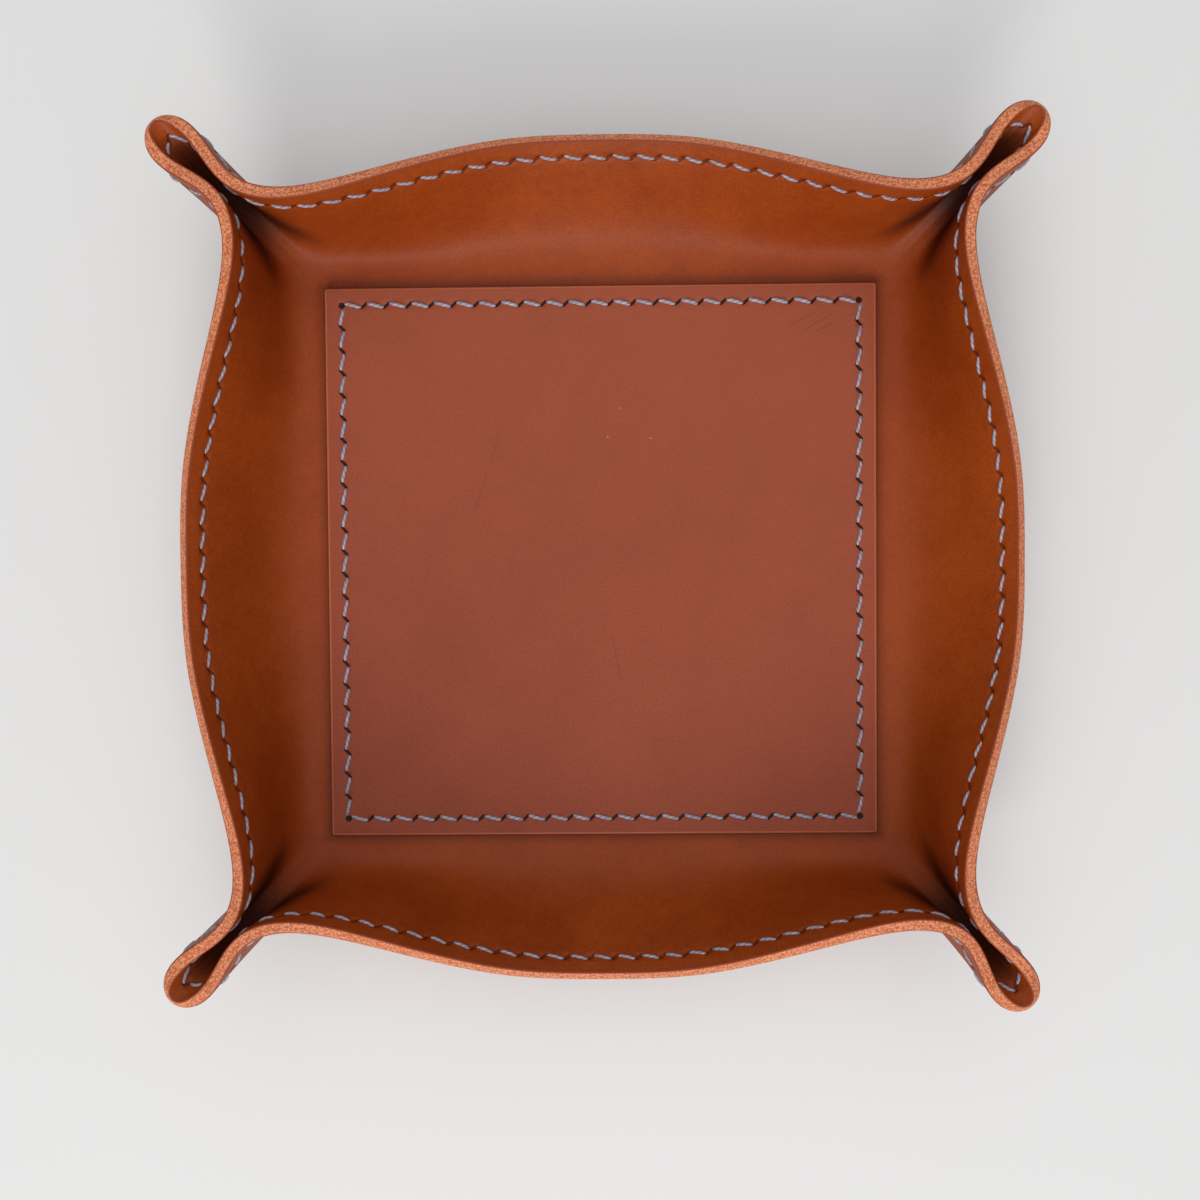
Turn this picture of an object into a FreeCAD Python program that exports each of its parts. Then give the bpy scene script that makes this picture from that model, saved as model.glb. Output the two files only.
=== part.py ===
import FreeCAD, Part
import math
import os
import Sketcher

V = FreeCAD.Vector
UP = V(0, 0, 1)
ROOT2 = math.sqrt(2)
CORNERS = 4
QUARTER_TURN = 360 / CORNERS
RIM_STITCHES = 37
PANEL_STITCHES = 23

doc = FreeCAD.newDocument("valet_tray")
sheet = doc.addObject("Spreadsheet::Sheet", "sizes")

# Sizes in millimetres and degrees: driving ones as plain numbers, the others worked out from them
SIZES = [
    ("panel_side", "108", "side of the square base panel"),
    ("panel_thick", "1.6", "leather of the base panel"),
    ("panel_bevel", "0.5", "bevel of the panel's upper edges"),
    ("panel_margin", "3.4", "panel edge to its seam"),
    ("shell_thick", "1.2", "outer leather"),
    ("lining_thick", "1.1", "inner leather"),
    ("edge_bevel", "0.3", "bevel of both leathers at the rim"),
    ("floor_border", "2.4", "panel edge to the start of the wall's bend"),
    ("floor_ease", "2", "rounding of the floor's corner"),
    ("floor_corner", "6", "half width of the floor's corner"),
    ("fold_run", "10", "start of the bend to the virtual fold"),
    ("fold_ease", "6.5", "rounding of the virtual fold's corner"),
    ("fold_corner", "7.6", "half width of the virtual fold's corner"),
    ("rim_run", "11", "run of the wall that the rim's slope governs"),
    ("side_flare", "19.7", "start of the bend out to the rim, at mid-side"),
    ("side_height", "19.8", "floor to the rim at mid-side"),
    ("side_lean", "49.5", "slope of the wall at mid-side"),
    ("quarter_flare", "12.3", "start of the bend out to the rim, at the quarter point"),
    ("quarter_lean", "60", "slope of the wall at the quarter point"),
    ("shoulder_flare", "7.7", "start of the bend out to the rim, at the shoulder"),
    ("shoulder_lean", "80", "slope of the wall at the shoulder"),
    ("corner_height", "27.2", "floor to the rim at a loop's neck"),
    ("neck_out", "12.9", "floor's corner out to the loop's neck"),
    ("neck_half", "0.3", "half gap that the neck is drawn to"),
    ("neck_lean", "84", "slope of the wall at the neck"),
    ("loop_length", "17.5", "neck to the loop's tip"),
    ("loop_half", "4.05", "half width that the loop is drawn to"),
    ("loop_lean", "59.5", "slope of the wall at the loop's widest place"),
    ("tip_half", "2.75", "half width that the tip is drawn to"),
    ("tip_round", "1.2", "setback of the tip's two sides from its middle"),
    ("tip_lean", "38", "slope of the wall at the tip"),
    ("swing_right_back", "1", "turn of the right back loop about its neck"),
    ("swing_right_front", "-10", "turn of the right front loop about its neck"),
    ("swing_left_front", "2", "turn of the left front loop about its neck"),
    ("swing_left_back", "2", "turn of the left back loop about its neck"),
    ("rim_margin", "3.3", "rim to its seam"),
    ("thread_width", "0.8", "width of a stitch"),
    ("thread_rise", "0.45", "height of a stitch over the leather"),
    ("stitch_slant", "0.46", "offset of a stitch's ends to either side of the seam"),
    ("stitch_gap", "0.9", "gap between one stitch and the next"),
    ("slit_run", "1.05", "awl slit along the seam"),
    ("slit_rise", "0.95", "awl slit across the seam"),
    ("slit_width", "0.4", "width of an awl slit along the seam"),
    ("corner_hole", "1.1", "round hole at each corner of the panel seam"),
    ("floor_half", "=panel_side / 2 + floor_border", "centre to the start of the bend"),
    ("fold_half", "=floor_half + fold_run", "centre to the virtual fold"),
    ("panel_floor", "=shell_thick + lining_thick", "table to the panel's underside"),
    ("panel_top", "=panel_floor + panel_thick", "table to the panel's upper face"),
    ("seam_half", "=panel_side / 2 - panel_margin", "centre to the panel seam"),
    ("panel_pitch", "=2 * seam_half / %d" % PANEL_STITCHES, "one stitch of the panel seam to the next"),
    ("first_slit", "=panel_pitch - seam_half", "centre to the first slit, along the seam"),
]
for row, (alias, value, note) in enumerate(SIZES, start=1):
    sheet.set("A%d" % row, note)
    sheet.set("B%d" % row, value)
    sheet.setAlias("B%d" % row, alias)
doc.recompute()


def size(alias):
    return float(sheet.get(alias))


# The wall's control net has a column of four points at each of these places round half a corner
FLAT_SHARE = 0.32
QUARTER_SHARE = 0.69
QUARTER_FOOT_SHARE = 0.6
SHOULDER_SHARE = 0.98
SHOULDER_FOOT_SHARE = 0.8
BELLY_SHARE = 0.62
QUARTER_TALL_SHARE = 0.92
SHOULDER_TALL_SHARE = 0.93
BELLY_TALL_SHARE = 0.94
TIP_TALL_SHARE = 0.96
BELLY_FOOT_SHARE = 0.36
TIP_FOOT_SHARE = 0.07
FOLD_FAN_SHARE = 0.5
WALL_MIX_SHARE = 0.6
NECK_MIX_SHARE = 0.95
SWING_SHARES = (0.0, 0.0, 0.7, 1.0)


def off_diagonal(reach, half, height):
    return V((reach - half) / ROOT2, (reach + half) / ROOT2, height)


def eased_corner(half_side, half, ease):
    return off_diagonal(half_side * ROOT2 - math.hypot(half, ease), half, size("shell_thick"))


def side_column(along_share, flare, height, lean, foot_share):
    slope = math.radians(lean)
    level = size("shell_thick")
    floor = size("floor_half")
    foot = V(foot_share * floor, floor, level)
    fan = foot_share * FOLD_FAN_SHARE * size("fold_run")
    fold = V(foot.x + fan, size("fold_half"), level)
    rim = V(along_share * floor, floor + flare, level + height)
    wall = rim - V(0, math.cos(slope), math.sin(slope)) * size("rim_run")
    wall.x = fold.x + (rim.x - fold.x) * WALL_MIX_SHARE
    return [foot, fold, wall, rim]


def loop_column(past_neck, half, height, lean, foot_share, mix_share):
    slope = math.radians(lean)
    run = size("rim_run")
    top = size("shell_thick") + height
    reach = size("floor_half") * ROOT2 + size("neck_out") + past_neck
    fold_width = foot_share * size("fold_corner")
    foot = eased_corner(size("floor_half"), foot_share * size("floor_corner"), size("floor_ease"))
    fold = eased_corner(size("fold_half"), fold_width, size("fold_ease"))
    wall_width = fold_width + (half - fold_width) * mix_share
    wall = off_diagonal(reach - run * math.cos(slope), wall_width, top - run * math.sin(slope))
    return [foot, fold, wall, off_diagonal(reach, half, top)]


def swung(column, angle):
    neck = off_diagonal(size("floor_half") * ROOT2 + size("neck_out"), 0, 0)
    turned = []
    for point, share in zip(column, SWING_SHARES):
        turned.append(FreeCAD.Rotation(UP, angle * share).multVec(point - neck) + neck)
    return turned


def mirrored(column):
    return [V(point.y, point.x, point.z) for point in column]


def corner_columns(angle):
    tall = size("corner_height")
    length = size("loop_length")
    side = (size("side_flare"), size("side_height"), size("side_lean"))
    quarter = (size("quarter_flare"), QUARTER_TALL_SHARE * tall, size("quarter_lean"))
    shoulder = (size("shoulder_flare"), SHOULDER_TALL_SHARE * tall, size("shoulder_lean"))
    belly = (size("loop_half"), BELLY_TALL_SHARE * tall, size("loop_lean"))
    tip = (TIP_TALL_SHARE * tall, size("tip_lean"))
    wall = [
        side_column(FLAT_SHARE, *side, FLAT_SHARE),
        side_column(QUARTER_SHARE, *quarter, QUARTER_FOOT_SHARE),
        side_column(SHOULDER_SHARE, *shoulder, SHOULDER_FOOT_SHARE),
        loop_column(0, size("neck_half"), tall, size("neck_lean"), 1, NECK_MIX_SHARE),
    ]
    loop = [
        loop_column(BELLY_SHARE * length, *belly, BELLY_FOOT_SHARE, WALL_MIX_SHARE),
        loop_column(length - size("tip_round"), size("tip_half"), *tip, TIP_FOOT_SHARE, WALL_MIX_SHARE),
    ]
    middle = loop_column(length, 0, *tip, 0, WALL_MIX_SHARE)
    loop += [middle] + [mirrored(column) for column in reversed(loop)]
    loop = [swung(column, angle) for column in loop]
    middle = side_column(0, *side, 0)
    return [middle] + wall + loop + [mirrored(column) for column in reversed(wall)]


# Form surface, where the two leathers meet: a closed net of the four corners, clockwise from the back side
net = []
for corner, name in enumerate(("right_back", "right_front", "left_front", "left_back")):
    turn = FreeCAD.Rotation(UP, -corner * QUARTER_TURN)
    for column in corner_columns(size("swing_" + name)):
        net.append([turn.multVec(point) for point in column])
COLUMNS = len(net)
net = net[-1:] + net[:-1]
form = Part.BSplineSurface()
form.buildFromPolesMultsKnots(
    net, [1] * (COLUMNS + 1), [4, 4], list(range(COLUMNS + 1)), [0, 1], True, False, 3, 3
)

# Skins of the leathers: rings of points off the form surface, joined upward by curves
AROUND = COLUMNS * 2
LEVELS = 6
RING_KNOTS = list(range(AROUND + 1))
LEVEL_KNOTS = [level / LEVELS for level in range(LEVELS + 1)]
# A cubic curve leaves its end at three times its last leg
RIM_SPEED = 3 * size("rim_run")


def skin_point(around, up, offset):
    place = around * COLUMNS % COLUMNS
    return form.value(place, up) + form.normal(place, up) * offset


def ring(up, offset):
    points = [skin_point(step / AROUND, up, offset) for step in range(AROUND)]
    curve = Part.BSplineCurve()
    curve.interpolate(Points=points, PeriodicFlag=True, Parameters=RING_KNOTS)
    return curve


def ring_surface(columns, upward):
    around = ring(0, 0)
    surface = Part.BSplineSurface()
    surface.buildFromPolesMultsKnots(
        columns,
        around.getMultiplicities(),
        upward.getMultiplicities(),
        around.getKnots(),
        upward.getKnots(),
        True,
        False,
        around.Degree,
        upward.Degree,
    )
    return surface


def skin(offset, top):
    rings = [ring(top * level, offset).getPoles() for level in LEVEL_KNOTS]
    columns = []
    for points in zip(*rings):
        upward = Part.BSplineCurve()
        upward.interpolate(Points=list(points), Parameters=LEVEL_KNOTS)
        columns.append(upward.getPoles())
    return ring_surface(columns, upward)


def band(lower, upper):
    straight = Part.BSplineCurve()
    straight.buildFromPoles([V(), UP], False, 1)
    return ring_surface([list(pair) for pair in zip(lower.getPoles(), upper.getPoles())], straight)


def quarter_ends(quarter):
    return quarter * AROUND / CORNERS, (quarter + 1) * AROUND / CORNERS


def floor_face(surface):
    edge = surface.vIso(0)
    return Part.Face(Part.Wire([edge.toShape(*quarter_ends(quarter)) for quarter in range(CORNERS)]))


def leather(offset):
    bevel = size("edge_bevel")
    top = 1 - bevel / RIM_SPEED
    grain = skin(offset, top)
    flesh = skin(0, 1)
    edge = ring(1, offset - math.copysign(bevel, offset))
    surfaces = [grain, flesh, band(ring(top, offset), edge), band(edge, ring(1, 0))]
    faces = [floor_face(grain), floor_face(flesh)]
    for surface in surfaces:
        faces += [surface.toShape(*quarter_ends(quarter), 0, 1) for quarter in range(CORNERS)]
    sewn = Part.makeCompound(faces)
    sewn.sewShape()
    solid = Part.Solid(sewn.Shells[0])
    if solid.Volume < 0:
        solid.reverse()
    return solid


shell = doc.addObject("Part::Feature", "outer_shell")
shell.Shape = leather(-size("shell_thick"))
lining = doc.addObject("Part::Feature", "inner_lining")
lining.Shape = leather(size("lining_thick"))


# Base panel: a padded square with bevelled upper edges and a row of awl slits along each side
def panel_sketch(name, x_rule, y_rule, level_rule):
    sketch = panel.newObject("Sketcher::SketchObject", name)
    floor = next(feature for feature in panel.Origin.OriginFeatures if feature.Role == "XY_Plane")
    sketch.AttachmentSupport = [(floor, "")]
    sketch.MapMode = "FlatFace"
    for axis, rule in zip("xyz", (x_rule, y_rule, level_rule)):
        sketch.setExpression("AttachmentOffset.Base." + axis, rule)
    return sketch


def bind(sketch, name, alias, constraint):
    number = sketch.addConstraint(constraint)
    sketch.renameConstraint(number, name)
    sketch.setExpression("Constraints." + name, "sizes." + alias)


def centred_outline(sketch, width, rise, run=None):
    lean = size(run) if run else 0
    low = V(-(size(width) + lean) / 2, -size(rise) / 2, 0)
    corners = [low, low + V(size(width), 0, 0), -low, -low - V(size(width), 0, 0)]
    for index, corner in enumerate(corners):
        sketch.addGeometry(Part.LineSegment(corner, corners[(index + 1) % len(corners)]), False)
    for index in range(len(corners)):
        sketch.addConstraint(Sketcher.Constraint("Coincident", index, 2, (index + 1) % len(corners), 1))
    sketch.addConstraint(Sketcher.Constraint("Symmetric", 0, 1, 2, 1, -1, 1))
    sketch.addConstraint(Sketcher.Constraint("Symmetric", 1, 1, 3, 1, -1, 1))
    sketch.addConstraint(Sketcher.Constraint("Horizontal", 0))
    bind(sketch, "width", width, Sketcher.Constraint("DistanceX", 0, 1, 0, 2, size(width)))
    bind(sketch, "rise", rise, Sketcher.Constraint("DistanceY", 1, 1, 1, 2, size(rise)))
    if run:
        bind(sketch, "run", run, Sketcher.Constraint("DistanceX", 1, 1, 1, 2, lean))
    else:
        sketch.addConstraint(Sketcher.Constraint("Vertical", 1))


def through_cut(name, sketch):
    cut = panel.newObject("PartDesign::Pocket", name)
    cut.Profile = sketch
    cut.Type = "ThroughAll"
    return cut


def round_centre(name):
    pattern = panel.newObject("PartDesign::PolarPattern", name)
    pattern.Axis = (outline, ["N_Axis"])
    pattern.Angle = 360
    pattern.Occurrences = CORNERS
    return pattern


panel = doc.addObject("PartDesign::Body", "base_panel")
outline = panel_sketch("panel_outline", "0", "0", "sizes.panel_floor")
centred_outline(outline, "panel_side", "panel_side")
pad = panel.newObject("PartDesign::Pad", "panel_pad")
pad.Profile = outline
pad.setExpression("Length", "sizes.panel_thick")
doc.recompute()
upper_edges = []
for number, edge in enumerate(pad.Shape.Edges, start=1):
    if edge.BoundBox.ZMin > size("panel_floor"):
        upper_edges.append("Edge%d" % number)
bevel = panel.newObject("PartDesign::Chamfer", "panel_edges")
bevel.Base = (pad, upper_edges)
bevel.setExpression("Size", "sizes.panel_bevel")
doc.recompute()

slit = panel_sketch("slit_outline", "sizes.first_slit", "sizes.seam_half", "sizes.panel_top")
centred_outline(slit, "slit_width", "slit_rise", "slit_run")
slit_cut = through_cut("slit_cut", slit)
slits = panel.newObject("PartDesign::MultiTransform", "slits")
slits.Originals = [slit_cut]
slit_row = panel.newObject("PartDesign::LinearPattern", "slit_row")
slit_row.Direction = (outline, ["H_Axis"])
slit_row.setExpression("Length", "%d * sizes.panel_pitch" % (PANEL_STITCHES - 2))
slit_row.Occurrences = PANEL_STITCHES - 1
slits.Transformations = [slit_row, round_centre("slit_sides")]
panel.Tip = slits
doc.recompute()

hole = panel_sketch("hole_outline", "sizes.seam_half", "sizes.seam_half", "sizes.panel_top")
hole.addGeometry(Part.Circle(V(), UP, size("corner_hole") / 2), False)
hole.addConstraint(Sketcher.Constraint("Coincident", 0, 3, -1, 1))
bind(hole, "diameter", "corner_hole", Sketcher.Constraint("Diameter", 0, size("corner_hole")))
hole_cut = through_cut("hole_cut", hole)
holes = round_centre("corner_holes")
holes.Originals = [hole_cut]
panel.Tip = holes
doc.recompute()

# Stitches: each one a low wedge that lies on the leather from one awl slit to the next
TAPER_SHARE = 0.2
CREST_SHARE = 0.45


def stitch(start, end, outward):
    along = (end - start).normalize()
    gap = size("stitch_gap")
    length = start.distanceToPoint(end) - gap
    width = size("thread_width")
    taper = TAPER_SHARE * length
    slope = (1 - CREST_SHARE) * width / 2
    wedge = Part.makeWedge(
        0, 0, 0, slope, taper, length, size("thread_rise"), width, width - slope, length - taper
    )
    across = along.cross(outward).normalize()
    turn = FreeCAD.Rotation(along, outward, across, "XZY")
    wedge.Placement = FreeCAD.Placement(start + along * (gap / 2) - across * (width / 2), turn)
    return wedge


panel_stitches = []
for side in range(CORNERS):
    turn = FreeCAD.Rotation(UP, -side * QUARTER_TURN)
    for number in range(PANEL_STITCHES):
        left = number * size("panel_pitch") - size("seam_half")
        start = V(left, size("seam_half") + size("stitch_slant"), size("panel_top"))
        end = V(left + size("panel_pitch"), size("seam_half") - size("stitch_slant"), size("panel_top"))
        panel_stitches.append(stitch(turn.multVec(start), turn.multVec(end), UP))
panel_thread = doc.addObject("Part::Feature", "panel_thread")
panel_thread.Shape = Part.makeCompound(panel_stitches)

# Rim seam: equal steps along the leather from each loop's tip to the next, seen on both faces
SEAM_UP = 1 - size("rim_margin") / RIM_SPEED
SEAM_STEPS = 600


def seam_places(side):
    arounds = [(side + 1 / 2 + step / SEAM_STEPS) / CORNERS for step in range(SEAM_STEPS + 1)]
    points = [skin_point(around, SEAM_UP, 0) for around in arounds]
    lengths = [0]
    for before, after in zip(points, points[1:]):
        lengths.append(lengths[-1] + before.distanceToPoint(after))
    places = []
    step = 0
    for number in range(RIM_STITCHES + 1):
        target = lengths[-1] * number / RIM_STITCHES
        while step < SEAM_STEPS - 1 and lengths[step + 1] < target:
            step += 1
        share = (target - lengths[step]) / (lengths[step + 1] - lengths[step])
        places.append(arounds[step] + share * (arounds[step + 1] - arounds[step]))
    return places


def rim_stitch(before, after, offset):
    slant = size("stitch_slant") / RIM_SPEED
    start = skin_point(before, SEAM_UP + slant, offset)
    end = skin_point(after, SEAM_UP - slant, offset)
    middle = (before + after) / 2
    along = (end - start).normalize()
    outward = form.normal(middle * COLUMNS % COLUMNS, SEAM_UP) * math.copysign(1, offset)
    outward = (outward - along * outward.dot(along)).normalize()
    crown = (skin_point(middle, SEAM_UP, offset) - (start + end) / 2).dot(outward)
    lift = outward * max(crown, 0)
    return stitch(start + lift, end + lift, outward)


rim_stitches = []
for side in range(CORNERS):
    places = seam_places(side)
    for offset in (size("lining_thick"), -size("shell_thick")):
        for before, after in zip(places, places[1:]):
            rim_stitches.append(rim_stitch(before, after, offset))
rim_thread = doc.addObject("Part::Feature", "rim_thread")
rim_thread.Shape = Part.makeCompound(rim_stitches)
doc.recompute()

# Checks, then one file for each piece
pieces = (shell, lining, panel, panel_thread, rim_thread)
for item in doc.Objects:
    if "Invalid" in item.State or "Error" in item.State:
        raise SystemExit("failed: " + item.Label)
for piece in pieces:
    if piece.Shape.isNull() or not piece.Shape.isValid():
        raise SystemExit("bad shape: " + piece.Label)
os.makedirs("parts", exist_ok=True)
for piece in pieces:
    piece.Shape.exportStep("parts/%s.step" % piece.Label)
    print(piece.Label, len(piece.Shape.Solids), round(piece.Shape.Volume, 1), piece.Shape.BoundBox)
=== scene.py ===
import math

import bpy
import numpy as np
from mathutils import Matrix, Vector


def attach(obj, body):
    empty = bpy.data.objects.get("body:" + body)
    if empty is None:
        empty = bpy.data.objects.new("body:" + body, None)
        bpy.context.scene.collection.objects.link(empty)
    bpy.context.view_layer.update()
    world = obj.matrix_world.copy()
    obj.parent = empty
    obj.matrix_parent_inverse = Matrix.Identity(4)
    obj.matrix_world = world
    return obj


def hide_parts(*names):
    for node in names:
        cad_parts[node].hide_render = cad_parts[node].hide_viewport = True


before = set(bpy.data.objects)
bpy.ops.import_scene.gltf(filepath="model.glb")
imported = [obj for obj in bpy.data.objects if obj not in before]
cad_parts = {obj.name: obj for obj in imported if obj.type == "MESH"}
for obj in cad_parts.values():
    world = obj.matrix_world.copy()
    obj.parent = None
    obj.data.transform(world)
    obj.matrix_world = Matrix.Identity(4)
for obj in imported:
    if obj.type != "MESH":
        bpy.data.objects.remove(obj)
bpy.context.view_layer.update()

# Outer shell
# The outer leather is one square blank of vegetable-tanned hide, grain side out. It is wet formed
# with a flat floor and flared walls, and each corner is pinched into a teardrop loop.
MM = 0.001
ROOT2 = math.sqrt(2)
CORNERS = 4
QUARTER_TURN = 360 / CORNERS
RIM_STITCHES = 37
SAMPLES = 10
SEAM_STEPS = 4000
shell_thick = 1.2
edge_bevel = 0.3
panel_side = 108.0
floor_border = 2.4
floor_half = panel_side / 2 + floor_border
floor_corner, floor_ease = 6.0, 2.0
fold_run = 10.0
fold_half = floor_half + fold_run
fold_corner, fold_ease = 7.6, 6.5
rim_run = 11.0
side_flare, side_height, side_lean = 19.7, 19.8, 49.5
quarter_flare, quarter_lean = 12.3, 60.0
shoulder_flare, shoulder_lean = 7.7, 80.0
corner_height, neck_out, neck_half, neck_lean = 27.2, 12.9, 0.3, 84.0
loop_length, loop_half, loop_lean = 17.5, 4.05, 59.5
tip_half, tip_round, tip_lean = 2.75, 1.2, 38.0
loop_swings = (1.0, -10.0, 2.0, 2.0)
rim_margin = 3.3
flat_share, quarter_share, shoulder_share, belly_share = 0.32, 0.69, 0.98, 0.62
quarter_foot_share, shoulder_foot_share = 0.6, 0.8
belly_foot_share, tip_foot_share = 0.36, 0.07
quarter_tall_share, shoulder_tall_share = 0.92, 0.93
belly_tall_share, tip_tall_share = 0.94, 0.96
fold_fan_share = 0.5
wall_mix_share, neck_mix_share = 0.6, 0.95
swing_shares = (0.0, 0.0, 0.7, 1.0)
neck_reach = floor_half * ROOT2 + neck_out
# A cubic curve leaves its end at three times its last leg
rim_speed = 3 * rim_run
seam_up = 1 - rim_margin / rim_speed


def off_diagonal(reach, half, height):
    return np.array([(reach - half) / ROOT2, (reach + half) / ROOT2, height])


def eased_corner(half_side, half, ease):
    return off_diagonal(half_side * ROOT2 - math.hypot(half, ease), half, shell_thick)


def side_column(along_share, flare, height, lean, foot_share):
    slope = math.radians(lean)
    foot = np.array([foot_share * floor_half, floor_half, shell_thick])
    fold = np.array([foot_share * (floor_half + fold_fan_share * fold_run), fold_half, shell_thick])
    rim = np.array([along_share * floor_half, floor_half + flare, shell_thick + height])
    wall = rim - np.array([0, math.cos(slope), math.sin(slope)]) * rim_run
    wall[0] = fold[0] + (rim[0] - fold[0]) * wall_mix_share
    return np.array([foot, fold, wall, rim])


def loop_column(past_neck, half, height, lean, foot_share, mix_share):
    slope = math.radians(lean)
    reach, top = neck_reach + past_neck, shell_thick + height
    fold_width = foot_share * fold_corner
    wall_width = fold_width + (half - fold_width) * mix_share
    foot = eased_corner(floor_half, foot_share * floor_corner, floor_ease)
    fold = eased_corner(fold_half, fold_width, fold_ease)
    wall = off_diagonal(reach - rim_run * math.cos(slope), wall_width, top - rim_run * math.sin(slope))
    return np.array([foot, fold, wall, off_diagonal(reach, half, top)])


def turned(points, degrees):
    return points @ np.array(Matrix.Rotation(math.radians(degrees), 3, "Z")).T


def swung(column, degrees):
    neck = off_diagonal(neck_reach, 0, 0)
    shared = zip(column, swing_shares)
    return np.array([turned(point - neck, degrees * share) + neck for point, share in shared])


def mirrored(column):
    return column[:, [1, 0, 2]]


def corner_columns(swing):
    """Columns of the control net round one corner, each of foot, fold, wall and rim."""
    tall = corner_height
    side = (side_flare, side_height, side_lean)
    quarter = (quarter_flare, quarter_tall_share * tall, quarter_lean)
    shoulder = (shoulder_flare, shoulder_tall_share * tall, shoulder_lean)
    belly = (loop_half, belly_tall_share * tall, loop_lean)
    tip = (tip_tall_share * tall, tip_lean)
    wall = [
        side_column(flat_share, *side, flat_share),
        side_column(quarter_share, *quarter, quarter_foot_share),
        side_column(shoulder_share, *shoulder, shoulder_foot_share),
        loop_column(0, neck_half, tall, neck_lean, 1, neck_mix_share),
    ]
    loop = [
        loop_column(belly_share * loop_length, *belly, belly_foot_share, wall_mix_share),
        loop_column(loop_length - tip_round, tip_half, *tip, tip_foot_share, wall_mix_share),
    ]
    loop_end = loop_column(loop_length, 0, *tip, 0, wall_mix_share)
    loop = loop + [loop_end] + [mirrored(column) for column in reversed(loop)]
    loop = [swung(column, swing) for column in loop]
    middle = side_column(0, *side, 0)
    return [middle] + wall + loop + [mirrored(column) for column in reversed(wall)]


net = []
for corner, swing in enumerate(loop_swings):
    net += [turned(column, -corner * QUARTER_TURN) for column in corner_columns(swing)]
net = np.array(net)


def form_at(around, up):
    """Points of the surface where the two leathers meet, and its normals towards the inside."""
    place = np.asarray(around) * len(net)
    column = np.floor(place).astype(int)
    t = (place - column)[:, None]
    v = np.asarray(up)[:, None]
    # A cubic B-spline round the tray and a cubic Bezier curve up the wall, each with its slope
    hat = np.hstack([(1 - t) ** 3, 3 * t**3 - 6 * t**2 + 4, -3 * t**3 + 3 * t**2 + 3 * t + 1, t**3]) / 6
    hat_slope = np.hstack([-((1 - t) ** 2), 3 * t**2 - 4 * t, -3 * t**2 + 2 * t + 1, t**2]) / 2
    rise = np.hstack([(1 - v) ** 3, 3 * v * (1 - v) ** 2, 3 * v**2 * (1 - v), v**3])
    rise_slope = np.hstack(
        [-3 * (1 - v) ** 2, 3 * (1 - v) ** 2 - 6 * v * (1 - v), 6 * v * (1 - v) - 3 * v**2, 3 * v**2]
    )
    near = net[(column[:, None] + np.arange(-1, 3)) % len(net)]
    points = np.einsum("nk,mr,nkrc->nmc", hat, rise, near)
    along = np.einsum("nk,mr,nkrc->nmc", hat_slope, rise, near)
    upward = np.einsum("nk,mr,nkrc->nmc", hat, rise_slope, near)
    inward = np.cross(along, upward)
    return points, inward / np.linalg.norm(inward, axis=2, keepdims=True)


# Places round the rim, at equal steps along the seam from each loop's tip to the next
arounds = []
for side in range(CORNERS):
    shares = (side + 0.5 + np.linspace(0, 1, SEAM_STEPS + 1)) / CORNERS
    seam = form_at(shares, [seam_up])[0][:, 0]
    lengths = np.concatenate([[0], np.cumsum(np.linalg.norm(np.diff(seam, axis=0), axis=1))])
    steps = np.arange(RIM_STITCHES * SAMPLES) / (RIM_STITCHES * SAMPLES)
    arounds.append(np.interp(lengths[-1] * steps, lengths, shares))
arounds = np.concatenate(arounds)
stitch_count = np.arange(len(arounds)) / SAMPLES
rim_pitch = lengths[-1] / RIM_STITCHES

# Relief of a seam, in millimetres
groove_depth, groove_width = 0.06, 0.75
pull_depth, pull_along, pull_across = 0.24, 0.45, 0.55
lip_height, lip_along, lip_across, lip_offset = 0.07, 0.8, 0.45, 1.0


def bell(distance, width):
    return np.exp(-((distance / width) ** 2))


def seam_relief(from_slit, from_seam):
    """Leather drawn down along a seam and into each awl slit, with a low lip round the slit."""
    groove = groove_depth * bell(from_seam, groove_width)
    pull = pull_depth * bell(from_slit, pull_along) * bell(from_seam, pull_across)
    lip = lip_height * bell(from_slit, lip_along) * bell(np.abs(from_seam) - lip_offset, lip_across)
    return lip - groove - pull


def rim_relief(from_rim):
    from_slit = (stitch_count - np.round(stitch_count)) * rim_pitch
    return seam_relief(from_slit[:, None], from_rim[None, :] - rim_margin)


# Rows of a leather's mesh: floor and flesh by shares, the grain by its distance from the rim
WALL_ROWS = 15
FLESH_ROWS = 7
seam_zone = 10
seam_rows = [0.45, 0.7, 1, 1.4, 1.8, 2.2, 2.5, 2.75, 3, 3.3, 3.6, 3.85, 4.1, 4.4, 4.8, 5.3, 6, 7, 8, 9]
floor_shares = (0.3, 0.7, 0.93)
flesh_floor_shares = (0.7, 0.3)
flesh_top_share = 0.97
bevel_angles = (30, 60, 90)
edge_foot, edge_drop, flesh_gap = 0.02, 0.01, 0.006


def shrunk(ring, share):
    return ring * np.array([share, share, 1])


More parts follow.
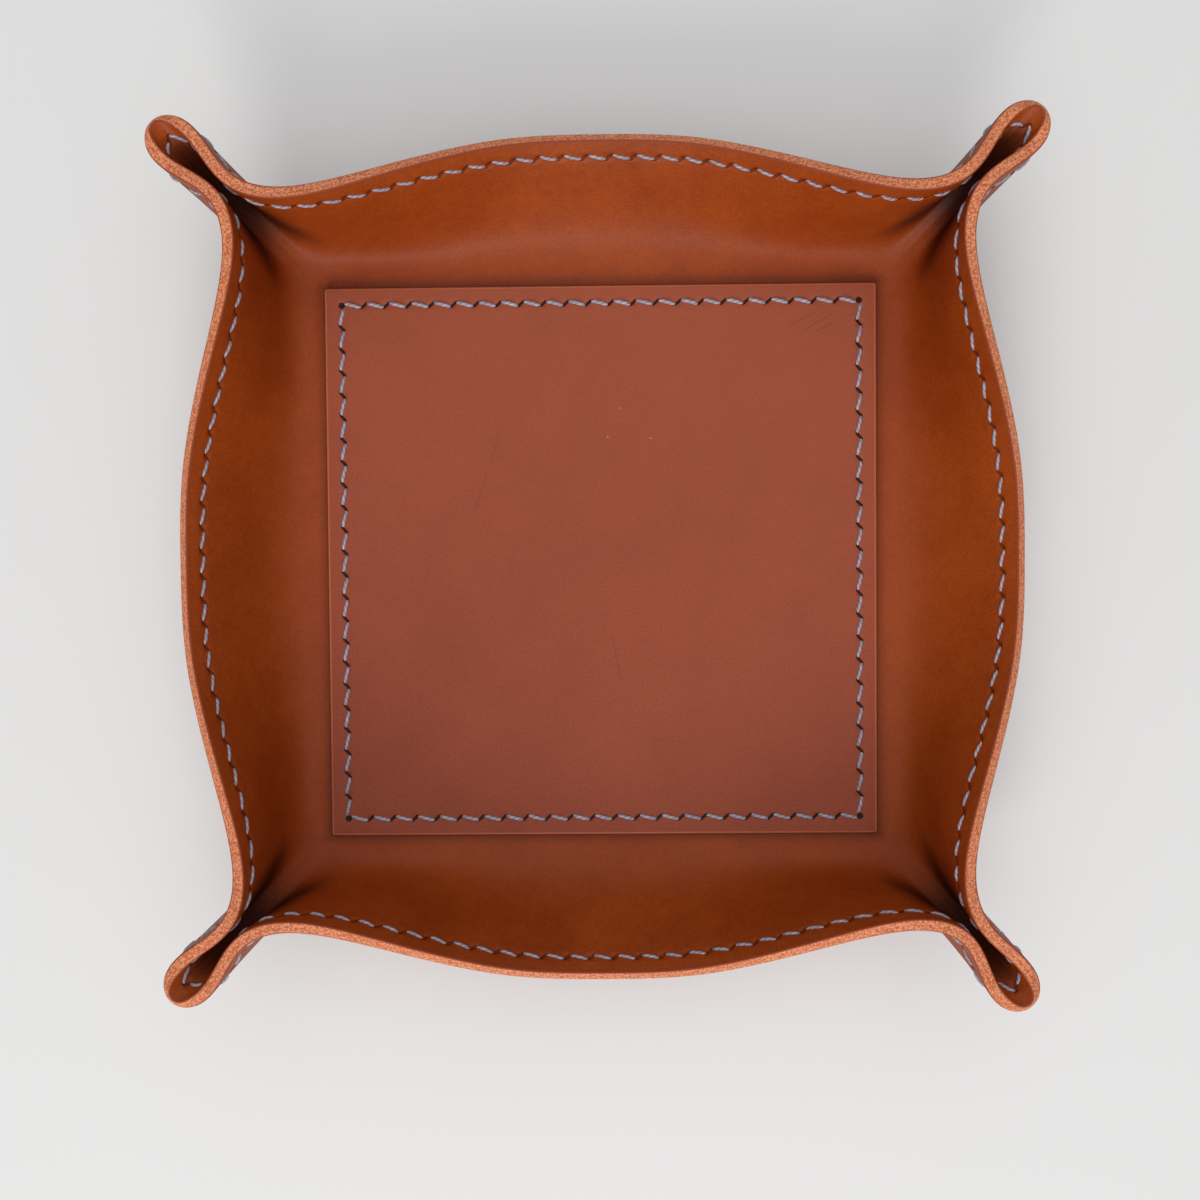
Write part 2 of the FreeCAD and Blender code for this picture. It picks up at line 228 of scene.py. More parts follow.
def leather_rows(thick, relief):
    """Rings from the grain's floor over the rim to the flesh's floor, with their distances from the rim.

    On the cut edge and the flesh it counts down from 0, so that a finish can tell them from the grain.
    """
    sign = math.copysign(1, thick)
    lower_wall = np.linspace(rim_speed, seam_zone, WALL_ROWS)
    from_rim = np.concatenate([lower_wall, seam_rows[::-1], [edge_bevel]])
    points, inward = form_at(arounds, 1 - from_rim / rim_speed)
    skin = points + inward * (thick + sign * relief(from_rim))[:, :, None]
    rows = [shrunk(skin[:, 0], share) for share in floor_shares] + list(skin.swapaxes(0, 1))
    marks = [rim_speed] * len(floor_shares) + list(from_rim)
    edge_end = abs(thick) - edge_bevel
    edge = []
    for angle in bevel_angles:
        turn = math.radians(angle)
        edge.append((edge_bevel * (1 - math.sin(turn)), abs(thick) - edge_bevel * (1 - math.cos(turn))))
    edge += [(0, edge_end / 2), (0, edge_foot), (edge_drop, flesh_gap)]
    for drop, depth in edge:
        point, normal = form_at(arounds, [1 - drop / rim_speed])
        rows.append((point + normal * sign * depth)[:, 0])
        marks.append(drop if depth > edge_end else depth - edge_end)
    points, inward = form_at(arounds, np.linspace(flesh_top_share, 0, FLESH_ROWS))
    flesh = points + inward * sign * flesh_gap
    rows += list(flesh.swapaxes(0, 1)) + [shrunk(flesh[:, -1], share) for share in flesh_floor_shares]
    marks += [-edge_end] * (FLESH_ROWS + len(flesh_floor_shares))
    return rows, marks


def add_piece(name, mesh):
    piece = bpy.data.objects.new(name, mesh)
    bpy.context.scene.collection.objects.link(piece)
    return piece


def leather_piece(name, thick, relief):
    """One formed leather as a closed mesh, mapped by stitch count and distance from the rim."""
    rows, marks = leather_rows(thick, relief)
    around = len(arounds)
    here = np.arange(around)
    after = np.roll(here, -1)
    left, right = stitch_count, stitch_count + 1 / SAMPLES
    vertices = np.concatenate(rows + [[rows[0].mean(0), rows[-1].mean(0)]]) * MM
    faces, uvs = [], []
    for row in range(len(rows) - 1):
        low, high = row * around, (row + 1) * around
        faces.append(np.stack([low + here, low + after, high + after, high + here], 1))
        bottom, top = np.full(around, marks[row]), np.full(around, marks[row + 1])
        corners = [(left, bottom), (right, bottom), (right, top), (left, top)]
        uvs.append(np.stack([np.stack(corner, 1) for corner in corners], 1))
    faces, uvs = np.concatenate(faces), np.concatenate(uvs)
    last = (len(rows) - 1) * around
    hub = len(rows) * around
    caps = [[hub, int(after[i]), i] for i in range(around)]
    caps += [[hub + 1, last + i, last + int(after[i])] for i in range(around)]
    if thick < 0:
        faces, uvs, caps = faces[:, ::-1], uvs[:, ::-1], [cap[::-1] for cap in caps]
    mesh = bpy.data.meshes.new(name)
    mesh.from_pydata(vertices.tolist(), [], faces.tolist() + caps)
    layer = mesh.uv_layers.new(name="seam")
    flat = np.concatenate([uvs.reshape(-1, 2), np.tile([0.0, rim_speed], (len(caps) * 3, 1))])
    layer.data.foreach_set("uv", flat.astype(np.float32).ravel())
    mesh.shade_smooth()
    return add_piece(name, mesh)


def srgb(red, green, blue):
    """Linear colour of three sRGB levels out of 255."""
    return tuple(((level / 255 + 0.055) / 1.055) ** 2.4 for level in (red, green, blue)) + (1.0,)


class Wire:
    """A shader socket that takes part in sums."""

    def __init__(self, tree, socket=None):
        self.tree = tree
        self.socket = socket

    def node(self, kind, settings, sockets, out=0):
        made = self.tree.nodes.new(kind)
        for name, value in settings.items():
            setattr(made, name, value)
        for key, value in sockets.items():
            if isinstance(value, Wire):
                self.tree.links.new(value.socket, made.inputs[key])
            else:
                made.inputs[key].default_value = value
        return Wire(self.tree, made.outputs[out])

    def math(self, operation, first, second=0.0):
        return self.node("ShaderNodeMath", {"operation": operation}, {0: first, 1: second})

    def __add__(self, other):
        return self.math("ADD", self, other)

    def __sub__(self, other):
        return self.math("SUBTRACT", self, other)

    def __rsub__(self, other):
        return self.math("SUBTRACT", other, self)

    def __mul__(self, other):
        return self.math("MULTIPLY", self, other)

    __radd__ = __add__
    __rmul__ = __mul__

    def size(self):
        return self.math("ABSOLUTE", self)

    def from_whole(self):
        """Signed distance from the nearest whole number."""
        return self.math("FRACT", self + 0.5) - 0.5

    def step(self, start, end):
        """0 before start and 1 after end, smooth between them."""
        return self.node(
            "ShaderNodeMapRange",
            {"interpolation_type": "SMOOTHSTEP"},
            {"Value": self, "From Min": start, "From Max": end},
        )

    def mix(self, low, high):
        """Colour low where this is 0 and high where it is 1."""
        return self.node("ShaderNodeMix", {"data_type": "RGBA"}, {0: self, 6: low, 7: high}, 2)

    def noise(self, scale, detail=3.0):
        return self.node("ShaderNodeTexNoise", {}, {"Vector": self, "Scale": scale, "Detail": detail})

    def cells(self, scale):
        return self.node("ShaderNodeTexVoronoi", {}, {"Vector": self, "Scale": scale})

    def axis(self, number):
        return self.node("ShaderNodeSeparateXYZ", {}, {0: self}, number)

    def relief(self):
        """Normal of a surface with this height in millimetres."""
        return self.node("ShaderNodeBump", {}, {"Height": self, "Distance": MM})

    def feeds(self, shader, socket):
        self.tree.links.new(self.socket, shader.inputs[socket])


def new_finish(name, gloss):
    """Object coordinates, shader and material of a new finish."""
    material = bpy.data.materials.new(name)
    material.use_nodes = True
    shader = material.node_tree.nodes["Principled BSDF"]
    shader.inputs["Specular IOR Level"].default_value = gloss
    place = Wire(material.node_tree).node("ShaderNodeTexCoord", {}, {}, "Object")
    return place, shader, material


# Awl slits, in millimetres: slanted, with a soft outline
slit_run, slit_rise, slit_width = 1.05, 0.95, 0.4
slit_sides = (1.15 * slit_width, 0.7 * slit_width)
slit_ends = (0.78 * slit_rise, 0.55 * slit_rise)
slit_sink = 0.3
slit_dark = srgb(40, 14, 6)


def slit_mark(from_slit, outward):
    across = (from_slit - outward * (slit_run / slit_rise)).size()
    return across.step(*slit_sides) * outward.size().step(*slit_ends)


# Grain of the hide: patches, pores and fibres by their number to the metre, heights in millimetres
leather_gloss = 0.18
fine_detail = 4
broad_clouds, small_clouds, flecks = 24, 95, 520
broad_share, small_share, fleck_share = 0.42, 0.34, 0.24
cloud_range = (0.26, 0.76)
pores_count, pore_range, pore_tone_share = 1900, (0.28, 0.05), 0.06
fibres_count, fibre_range, fibre_tone_share = 2300, (0.3, 0.7), 0.2
wax_patches, leather_rough, wax_rough, pore_rough = 130, 0.42, 0.12, 0.08
crinkles_count, crinkle_height, pore_depth, fibre_depth = 800, 0.036, 0.026, 0.016


def grain(place, dark, light):
    """Colour, roughness and height in millimetres of smooth waxed leather."""
    clouds = place.noise(broad_clouds) * broad_share + place.noise(small_clouds) * small_share
    clouds = clouds + place.noise(flecks) * fleck_share
    pores = place.cells(pores_count).step(*pore_range)
    fibres = place.noise(fibres_count, fine_detail).step(*fibre_range)
    tone = (clouds - pores * pore_tone_share).step(*cloud_range).mix(dark, light)
    tone = (fibres * fibre_tone_share).mix(tone, slit_dark)
    rough = leather_rough + place.noise(wax_patches) * wax_rough + pores * pore_rough
    height = place.noise(crinkles_count, fine_detail) * crinkle_height
    return tone, rough, height - pores * pore_depth - fibres * fibre_depth


# Zones of a formed leather, in millimetres from a loop's tip or from the rim
# Painted shade: the colour darkens from the lower walls down over the floor's bend, where the walls shade
# it
bend_zone, bend_shade_share = (13, 27), 0.3
# Painted shade inside each loop's gutter and neck, where the pinched walls close in
pinch_along, pinch_top, pinch_foot = (24, 16), (1.5, 7.5), (24, 15)
pinch_painted_shade = srgb(46, 12, 4)
worn_zone, worn_share = (0.75, 0.15), 0.85
cut_zone, cut_rough = (0.08, -0.06), 0.2
cut_fibres, cut_fibre_range, cut_fibre_height = 2600, (0.34, 0.68), 0.07
cut_dark, cut_light = srgb(178, 92, 56), srgb(232, 150, 108)
rim_slit_share = 0.55


def formed_finish(name, hide, bend_shade, worn, pinch_shade_share, floor_shadow=None):
    """Leather of the tray's walls, with awl slits along the rim, a bare cut edge, painted shade over the
    floor's bend and inside the loops, and any painted shadow it is given.
    """
    place, shader, material = new_finish(name, leather_gloss)
    seam = place.node("ShaderNodeUVMap", {"uv_map": "seam"}, {})
    stitch, from_rim = seam.axis(0), seam.axis(1)
    slit = slit_mark(stitch.from_whole() * rim_pitch, rim_margin - from_rim)
    tone, rough, height = grain(place, *hide)
    # Painted shade over the lower walls and the floor's bend
    tone = (from_rim.step(*bend_zone) * bend_shade_share).mix(tone, bend_shade)
    from_tip = stitch.math("PINGPONG", stitch, RIM_STITCHES / 2) * rim_pitch
    # Painted shade: darker inside each loop's gutter and neck
    pinch_shade_mask = from_tip.step(*pinch_along) * from_rim.step(*pinch_top) * from_rim.step(*pinch_foot)
    tone = (pinch_shade_mask * pinch_shade_share).mix(tone, pinch_painted_shade)
    # The lining's painted shadow beside the panel is laid on here
    if floor_shadow:
        tone = floor_shadow(place, from_rim, tone)
    tone = (from_rim.step(*worn_zone) * worn_share).mix(tone, worn)
    fibres = place.noise(cut_fibres, fine_detail)
    cut = from_rim.step(*cut_zone)
    tone = cut.mix(tone, fibres.step(*cut_fibre_range).mix(cut_dark, cut_light))
    (slit * rim_slit_share).mix(tone, slit_dark).feeds(shader, "Base Color")
    (rough + cut * cut_rough).feeds(shader, "Roughness")
    (height + cut * fibres * cut_fibre_height - slit * slit_sink).relief().feeds(shader, "Normal")
    return material


shell_hide = (srgb(140, 57, 15), srgb(166, 76, 28))
# The first colour here is painted shade for the lower walls and the floor's bend
shell_bend_shade, shell_worn = srgb(122, 49, 15), srgb(136, 62, 36)
# How much painted shade darkens the loops on the outside
shell_pinch_shade_share = 0.12
shell = leather_piece("shell", -shell_thick, rim_relief)
shell_finish = formed_finish("shell_leather", shell_hide, shell_bend_shade, shell_worn, shell_pinch_shade_share)
shell.data.materials.append(shell_finish)
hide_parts("outer_shell")
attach(shell, "root")

# Inner lining
# A second blank of the same hide, grain side in, glued flesh to flesh to the shell before forming.
# Inside each loop the grain is squeezed, and it gathers in fine wrinkles that fan down from the rim.
lining_thick = 1.1
wrinkle_depth, wrinkle_pitch, wrinkle_reach = 0.1, 1.55, 7.5
wrinkle_top, wrinkle_rise = 0.8, 3
wrinkle_full, wrinkle_fade = 6, 7
wander_swing, wander_down, wander_along = 0.9, 0.45, 0.8
lining_hide = (srgb(145, 57, 8), srgb(170, 75, 19))
# The first colour here is painted shade for the lower walls and the floor's bend
lining_bend_shade, lining_worn = srgb(138, 58, 28), srgb(136, 60, 32)
# How much painted shade darkens the inside of the loops
lining_pinch_shade_share = 0.82
# Painted shadow on the lining's floor beside the panel: a soft band and a thin contact line
panel_shade, panel_shade_share = (2.6, 0.2), 0.57
panel_line, panel_line_share = (0.7, 0.2), 0.43
floor_zone = (rim_speed - 4, rim_speed - 1)
panel_shadow_share = 0.7
panel_shadow_dark = srgb(66, 22, 10)


def lining_relief(from_rim):
    place = stitch_count / RIM_STITCHES
    from_tip = ((place - np.round(place)) * RIM_STITCHES * rim_pitch)[:, None]
    wander = wander_swing * np.sin(from_rim[None, :] * wander_down + from_tip * wander_along)
    wave = np.sin(2 * np.pi * from_tip / wrinkle_pitch + wander)
    start = np.clip((from_rim - wrinkle_top) / wrinkle_rise, 0, 1)
    end = bell(np.maximum(from_rim - wrinkle_full, 0), wrinkle_fade)
    return rim_relief(from_rim) + wrinkle_depth * wave * bell(from_tip, wrinkle_reach) * start * end


def shadow_by_panel(place, from_rim, tone):
    """Painted shadow on the floor along the panel's edge: a soft band and a thin contact line."""
    x, y = place.axis(0) * (1 / MM), place.axis(1) * (1 / MM)
    from_panel = place.math("MAXIMUM", x.size(), y.size()) - panel_side / 2
    shade = from_panel.step(*panel_shade) * panel_shade_share
    shadow = shade + from_panel.step(*panel_line) * panel_line_share
    return (shadow * from_rim.step(*floor_zone) * panel_shadow_share).mix(tone, panel_shadow_dark)


lining = leather_piece("lining", lining_thick, lining_relief)
lining_finish = formed_finish(
    "lining_leather", lining_hide, lining_bend_shade, lining_worn, lining_pinch_shade_share, shadow_by_panel
)
lining.data.materials.append(lining_finish)
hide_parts("inner_lining")
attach(lining, "root")

# Base panel
# A square of thicker leather with bevelled and burnished edges. It lies on the floor and is sewn
# through the lining along all four sides, with a round awl hole at each corner of the seam.
PANEL_STITCHES = 23
TINY = 1e-9
panel_floor = shell_thick + lining_thick
panel_thick = 1.6
panel_top = panel_floor + panel_thick
panel_bevel, panel_round = 0.5, 0.45
panel_margin = 3.4
panel_half = panel_side / 2
seam_half = panel_half - panel_margin
panel_pitch = 2 * seam_half / PANEL_STITCHES
edge_shares = (0, 0.08, 0.3, 0.62, 1, 1.6, 2.6, 3.8, 5, 6)
seam_overrun = 0.8
seam_end = (-1.0, -0.9)
hole_radius = 0.55
hole_edge = (hole_radius + 0.1, hole_radius - 0.05)
panel_hide = (srgb(144, 65, 41), srgb(156, 73, 47))
# Painted light: the panel is lighter towards the back right and darker at the front left
lit_up, lit_right, lit_share = 0.75, 0.25, 0.4
panel_lit = srgb(170, 87, 57)
burnish_zone = (panel_half - 0.55, panel_half - 0.3)
burnish_share, burnish_gloss = 0.8, 0.06
burnish_copper = srgb(200, 112, 72)
scratch_width, scratch_share = 0.22, 0.3
scratch_dark = srgb(96, 40, 24)
scratches = [
    ((-19.9, 25.0), (-22.0, 18.8)),
    ((-22.0, 18.8), (-25.5, 8.4)),
    ((1.7, -13.2), (3.8, -24.2)),
    ((36.0, 45.2), (42.6, 48.6)),
    ((38.8, 44.1), (46.0, 48.4)),
    ((41.0, 44.0), (46.4, 46.6)),
]
speck_width, speck_share = 0.34, 0.7
speck_pale = srgb(206, 132, 96)
specks = [(3.8, 30.0), (1.4, 24.4), (9.8, 24.1)]


def panel_mesh():
    """A grid that is close at the bevel and follows the stitches, with walls and a flat underside."""
    bevel = np.array([panel_half - panel_bevel * share for share in edge_shares])
    seam = np.linspace(-seam_half, seam_half, PANEL_STITCHES * SAMPLES + 1)
    ticks = np.concatenate([-bevel, seam, bevel[::-1]])
    x, y = np.meshgrid(ticks, ticks, indexing="ij")
    core = panel_half - panel_round
    past_x, past_y = np.maximum(np.abs(x) - core, 0), np.maximum(np.abs(y) - core, 0)
    both = (past_x > 0) & (past_y > 0)
    squeeze = np.where(both, np.maximum(past_x, past_y) / np.maximum(np.hypot(past_x, past_y), TINY), 1)
    round_x = np.sign(x) * (np.minimum(np.abs(x), core) + past_x * squeeze)
    round_y = np.sign(y) * (np.minimum(np.abs(y), core) + past_y * squeeze)
    reach, along = np.maximum(np.abs(x), np.abs(y)), np.minimum(np.abs(x), np.abs(y))
    fall = np.clip(1 - (panel_half - reach) / panel_bevel, 0, 1)
    steps = (along + seam_half) / panel_pitch
    relief = seam_relief((steps - np.round(steps)) * panel_pitch, reach - seam_half)
    top = panel_top - panel_bevel * (1 - np.sqrt(1 - fall**2))
    top = top + relief * (along < seam_half + seam_overrun)
    vertices = np.stack([round_x, round_y, top], 2).reshape(-1, 3)
    index = np.arange(len(vertices)).reshape(x.shape)
    squares = np.stack([index[:-1, :-1], index[1:, :-1], index[1:, 1:], index[:-1, 1:]], 2)
    border = np.concatenate([index[:-1, 0], index[-1, :-1], index[:0:-1, -1], index[0, :0:-1]])
    foot = vertices[border] * np.array([1, 1, 0]) + np.array([0, 0, panel_floor])
    base = len(vertices) + np.arange(len(border))
    walls = np.stack([np.roll(border, -1), border, base, np.roll(base, -1)], 1)
    faces = squares.reshape(-1, 4).tolist() + walls.tolist() + [base[::-1].tolist()]
    mesh = bpy.data.meshes.new("panel")
    mesh.from_pydata((np.concatenate([vertices, foot]) * MM).tolist(), [], faces)
    mesh.shade_smooth()
    return mesh


def scratch_mark(x, y, start_place, end_place):
    """1 on a fine straight line across the panel, fading at its ends."""
    way = Vector(end_place) - Vector(start_place)
    length = way.length
    way = way / length
    from_x, from_y = x - start_place[0], y - start_place[1]
    along = from_x * way.x + from_y * way.y
    aside = (from_y * way.x - from_x * way.y).size()
    ends = (along - length / 2).size().step(length / 2, length / 4)
    return aside.step(scratch_width, 0) * ends


def panel_finish():
    """Leather with painted light, lighter towards the back right, with awl slits, copper edges, scratches
    and pale specks.
    """
    place, shader, material = new_finish("panel_leather", leather_gloss)
    x, y = place.axis(0) * (1 / MM), place.axis(1) * (1 / MM)
    reach = place.math("MAXIMUM", x.size(), y.size())
    beside = place.math("GREATER_THAN", x.size(), y.size())
    along = (1 - beside) * x * place.math("SIGN", y) - beside * y * place.math("SIGN", x)
    from_slit = ((along + seam_half) * (1 / panel_pitch)).from_whole() * panel_pitch
    outward, past_end = reach - seam_half, along.size() - seam_half
    hole = place.math("SQRT", past_end * past_end + outward * outward).step(*hole_edge)
    slit = slit_mark(from_slit, outward) * (1 - past_end.step(*seam_end)) + hole
    tone, rough, height = grain(place, *panel_hide)
    # Painted light, lighter towards the back right
    lit_side = (y * lit_up + x * lit_right).step(-panel_half, panel_half)
    tone = (lit_side * lit_share).mix(tone, panel_lit)
    burnish = reach.step(*burnish_zone)
    tone = (burnish * burnish_share).mix(tone, burnish_copper)
    for start_place, end_place in scratches:
        tone = (scratch_mark(x, y, start_place, end_place) * scratch_share).mix(tone, scratch_dark)
    for speck_x, speck_y in specks:
        away = (x - speck_x).size() + (y - speck_y).size()
        tone = (away.step(speck_width, speck_width / 3) * speck_share).mix(tone, speck_pale)
    slit.mix(tone, slit_dark).feeds(shader, "Base Color")
    (rough - burnish * burnish_gloss).feeds(shader, "Roughness")
    (height - slit * slit_sink).relief().feeds(shader, "Normal")
    return material


panel = add_piece("panel", panel_mesh())
panel.data.materials.append(panel_finish())
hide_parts("base_panel")
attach(panel, "root")

# Panel thread
# Waxed twisted thread in saddle stitch, 23 stitches a side. Each stitch slants from the outer to the
# inner side of its seam and dives into the next awl slit.
THREAD_SIDES = 8
PLIES = 2
thread_width, thread_rise, thread_dive = 0.72, 0.05, 1.45
stitch_slant, slant_share = 0.46, 1.25
dive_power = 3.4
thread_end_share = 0.75
unit_radius = 0.5
thread_gloss = 0.5
ply_turn, ply_groove = 26, (-0.95, -0.2)
# The first colour is painted shade for the grooves between the plies
ply_groove_shade, thread_dark, thread_pale = srgb(132, 124, 134), srgb(152, 146, 158), srgb(178, 172, 184)
thread_patches, thread_patch_range = 900, (0.3, 0.7)
stained_ends, stain_share, end_stain = (0.36, 0.49), 0.6, srgb(92, 64, 58)
wax_spots, thread_rough, wax_spot_rough = 1500, 0.42, 0.2
fuzz_count, fuzz_height, ply_height = 5000, 0.015, 0.03


def seam_tree():
    """Sweeps a thread along a seam's path, over the leather in each stitch and under it at each slit."""
    tree = bpy.data.node_groups.new("stitched_seam", "GeometryNodeTree")
    tree.interface.new_socket("Seam", in_out="INPUT", socket_type="NodeSocketGeometry")
    for name in ("Thread Width", "Rise", "Dive", "Slant"):
        tree.interface.new_socket(name, in_out="INPUT", socket_type="NodeSocketFloat")
    tree.interface.new_socket("Finish", in_out="INPUT", socket_type="NodeSocketMaterial")
    tree.interface.new_socket("Thread", in_out="OUTPUT", socket_type="NodeSocketGeometry")
    given = tree.nodes.new("NodeGroupInput")
    result = tree.nodes.new("NodeGroupOutput")
    start = Wire(tree)

    def sized(name):
        return Wire(tree, given.outputs[name])

    def stored(name, kind):
        return start.node("GeometryNodeInputNamedAttribute", {"data_type": kind}, {"Name": name})

    def scaled(vector, factor):
        return start.node("ShaderNodeVectorMath", {"operation": "SCALE"}, {0: vector, "Scale": factor})

    phase = stored("phase", "FLOAT")
    arch = 1 - start.math("POWER", (phase * 2 - 1).size(), dive_power)
    height = arch * (sized("Rise") + sized("Dive")) - sized("Dive")
    lift = scaled(stored("outward", "FLOAT_VECTOR"), height)
    lean = scaled(stored("across", "FLOAT_VECTOR"), (1 - phase * 2) * slant_share * sized("Slant"))
    offset = start.node("ShaderNodeVectorMath", {"operation": "ADD"}, {0: lift, 1: lean})
    path = start.node("GeometryNodeMeshToCurve", {}, {"Mesh": sized("Seam")})
    path = start.node("GeometryNodeSetPosition", {}, {"Geometry": path, "Offset": offset})
    ring = start.node(
        "GeometryNodeCurvePrimitiveCircle", {}, {"Resolution": THREAD_SIDES, "Radius": unit_radius}
    )
    ring = start.node(
        "GeometryNodeStoreNamedAttribute",
        {"data_type": "FLOAT_VECTOR", "domain": "POINT"},
        {"Geometry": ring, "Name": "ply", "Value": start.node("GeometryNodeInputPosition", {}, {})},
    )
    width = sized("Thread Width") * (arch * (1 - thread_end_share) + thread_end_share)
    swept = {"Curve": path, "Profile Curve": ring, "Scale": width}
    thread = start.node("GeometryNodeCurveToMesh", {}, swept)
    thread = start.node("GeometryNodeSetShadeSmooth", {}, {"Geometry": thread})
    thread = start.node("GeometryNodeRealizeInstances", {}, {"Geometry": thread})
    thread = start.node("GeometryNodeSetMaterial", {}, {"Geometry": thread, "Material": sized("Finish")})
    tree.links.new(thread.socket, result.inputs["Thread"])
    return tree


def seam_path(name, paths):
    """Closed edge loops that carry each point's place in its stitch and the leather's directions."""
    points, edges, phases, outwards, acrosses = [], [], [], [], []
    for point, phase, outward, across in paths:
        first = len(points)
        count = len(point)
        points += (point * MM).tolist()
        edges += [(first + i, first + (i + 1) % count) for i in range(count)]
        phases.append(phase)
        outwards.append(outward)
        acrosses.append(across)
    mesh = bpy.data.meshes.new(name)
    mesh.from_pydata(points, edges, [])
    mesh.attributes.new("phase", "FLOAT", "POINT").data.foreach_set("value", np.concatenate(phases))
    for key, vectors in (("outward", outwards), ("across", acrosses)):
        layer = mesh.attributes.new(key, "FLOAT_VECTOR", "POINT")
        layer.data.foreach_set("vector", np.concatenate(vectors).ravel())
    return mesh


def sewn_piece(name, width, paths):
    seam = add_piece(name + "_seam", seam_path(name + "_seam", paths))
    tool = seam.modifiers.new("stitches", "NODES")
    tool.node_group = stitches
    values = {
        "Thread Width": width * MM,
        "Rise": thread_rise * MM,
        "Dive": thread_dive * MM,
        "Slant": stitch_slant * MM,
        "Finish": thread_finish,
    }
    for socket in stitches.interface.items_tree:
        if socket.name in values:
            tool[socket.identifier] = values[socket.name]
    made = seam.evaluated_get(bpy.context.evaluated_depsgraph_get())
    piece = add_piece(name, bpy.data.meshes.new_from_object(made))
    bpy.data.objects.remove(seam)
    return piece


def waxed_thread():
    """Grey two-ply thread with painted shade in the grooves between its plies, browned where it enters
    the leather.
    """
    place, shader, material = new_finish("waxed_thread", thread_gloss)
    ply = place.node("ShaderNodeAttribute", {"attribute_name": "ply"}, {}, "Vector")
    phase = place.node("ShaderNodeAttribute", {"attribute_name": "phase"}, {}, "Fac")
    angle = place.math("ARCTAN2", ply.axis(1), ply.axis(0))
    strand = place.math("SINE", angle * PLIES + phase * ply_turn).step(*ply_groove)
    tone = place.noise(thread_patches).step(*thread_patch_range).mix(thread_dark, thread_pale)
    # Painted shade in the grooves between the plies
    tone = strand.mix(ply_groove_shade, tone)
    ends = (phase - 0.5).size().step(*stained_ends)
    (ends * stain_share).mix(tone, end_stain).feeds(shader, "Base Color")
    (thread_rough + place.noise(wax_spots) * wax_spot_rough).feeds(shader, "Roughness")
    (strand * ply_height + place.noise(fuzz_count) * fuzz_height).relief().feeds(shader, "Normal")
    return material


stitches = seam_tree()
thread_finish = waxed_thread()
side_steps = np.arange(PANEL_STITCHES * SAMPLES) / SAMPLES
level = np.full(len(side_steps), panel_top)
line = np.stack([side_steps * panel_pitch - seam_half, np.full(len(side_steps), seam_half), level], 1)
across = np.tile(np.array([0.0, 1.0, 0.0]), (len(side_steps), 1))
side_turns = [-side * QUARTER_TURN for side in range(CORNERS)]
panel_path = [
    np.concatenate([turned(line, turn) for turn in side_turns]),
    np.tile(side_steps % 1, CORNERS),
    np.tile(np.array([0.0, 0.0, 1.0]), (CORNERS * len(side_steps), 1)),
    np.concatenate([turned(across, turn) for turn in side_turns]),
]
panel_thread = sewn_piece("panel_stitches", thread_width, [panel_path])
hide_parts("panel_thread")
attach(panel_thread, "root")

# Rim thread
# The same thread, drawn tighter, sews the two leathers together along the rim and round each loop,
# 37 stitches a side. Saddle stitch looks alike on both faces, so it shows inside and outside.
rim_thread_width = 0.6
short_way_up = 0.02
seam_points, seam_inward = form_at(arounds, [seam_up])
to_rim = (form_at(arounds, [seam_up + short_way_up])[0] - seam_points)[:, 0]
to_rim = to_rim / np.linalg.norm(to_rim, axis=1, keepdims=True)
rim_paths = []
for offset in (lining_thick, -shell_thick):
    outward = seam_inward[:, 0] * math.copysign(1, offset)
    rim_paths.append([seam_points[:, 0] + seam_inward[:, 0] * offset, stitch_count % 1, outward, to_rim])
rim_thread = sewn_piece("rim_stitches", rim_thread_width, rim_paths)
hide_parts("rim_thread")
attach(rim_thread, "root")

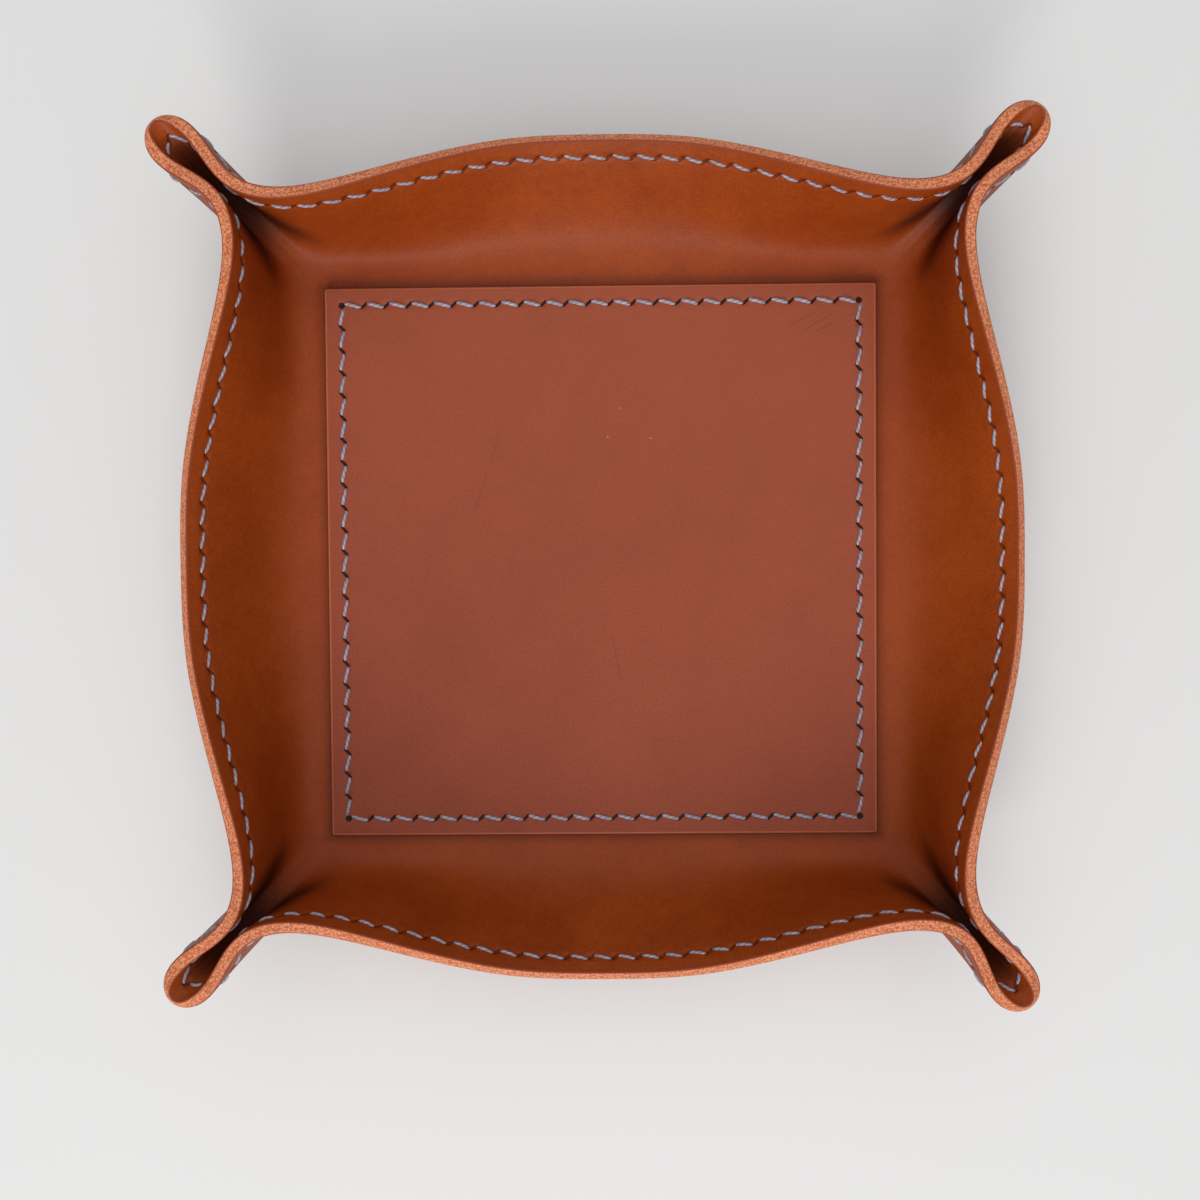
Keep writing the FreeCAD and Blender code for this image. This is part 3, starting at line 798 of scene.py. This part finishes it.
# Studio
# A plain pale floor under a soft sky that is brightest overhead, with one large lamp low in front,
# and a camera straight above. Its place, lens and sensor are in millimetres, the rest in metres.
floor_reach, floor_drop = 2.0, 0.0001
floor_gloss, floor_rough, floor_patches = 0.3, 0.8, 3
floor_dark, floor_pale = srgb(224, 222, 218), srgb(230, 228, 225)
lamp_place, lamp_watts, lamp_width = (-0.17, -1.2, 0.64), 9.5, 0.7
sky_side_share, sky_range = 0.5, (0.05, 0.9)
sky_low, sky_high = (0.3, 0.3, 0.31, 1.0), (1.22, 1.25, 1.3, 1.0)
camera_place = (2.53, -2.07, 224.35)
camera_turn = (0.0250, -0.0132, 0.0083)
camera_lens, camera_sensor, camera_near = 33.6, 36, 0.01
floor_mesh = bpy.data.meshes.new("floor")
floor_signs = ((-1, -1), (1, -1), (1, 1), (-1, 1))
floor_corners = [(x * floor_reach, y * floor_reach, -floor_drop) for x, y in floor_signs]
floor_mesh.from_pydata(floor_corners, [], [(0, 1, 2, 3)])
floor = add_piece("floor", floor_mesh)
place, shader, pale = new_finish("pale_floor", floor_gloss)
place.noise(floor_patches).mix(floor_dark, floor_pale).feeds(shader, "Base Color")
shader.inputs["Roughness"].default_value = floor_rough
floor_mesh.materials.append(pale)


def soft_light(name, place, watts, width):
    lamp = bpy.data.lights.new(name, "AREA")
    lamp.energy = watts
    lamp.size = width
    lamp.shape = "DISK"
    light = bpy.data.objects.new(name, lamp)
    light.location = place
    light.rotation_euler = (-Vector(place)).to_track_quat("-Z", "Y").to_euler()
    bpy.context.scene.collection.objects.link(light)


soft_light("key", lamp_place, lamp_watts, lamp_width)
world = bpy.data.worlds.new("sky")
world.use_nodes = True
direction = Wire(world.node_tree).node("ShaderNodeTexCoord", {}, {}, "Generated")
overhead = (direction.axis(2) - direction.axis(0).size() * sky_side_share).step(*sky_range)
overhead.mix(sky_low, sky_high).feeds(world.node_tree.nodes["Background"], "Color")
bpy.context.scene.world = world
bpy.context.scene.view_settings.view_transform = "Standard"
camera = bpy.data.objects.new("camera", bpy.data.cameras.new("camera"))
camera.data.lens = camera_lens
camera.data.sensor_width = camera_sensor
camera.data.clip_start = camera_near
turn_x, turn_y, turn_z = camera_turn
view = Matrix.Rotation(turn_z, 3, "Z") @ Matrix.Rotation(turn_x, 3, "X") @ Matrix.Rotation(turn_y, 3, "Y")
camera.matrix_world = Matrix.Translation(Vector(camera_place) * MM) @ view.transposed().to_4x4()
bpy.context.scene.collection.objects.link(camera)
bpy.context.scene.camera = camera
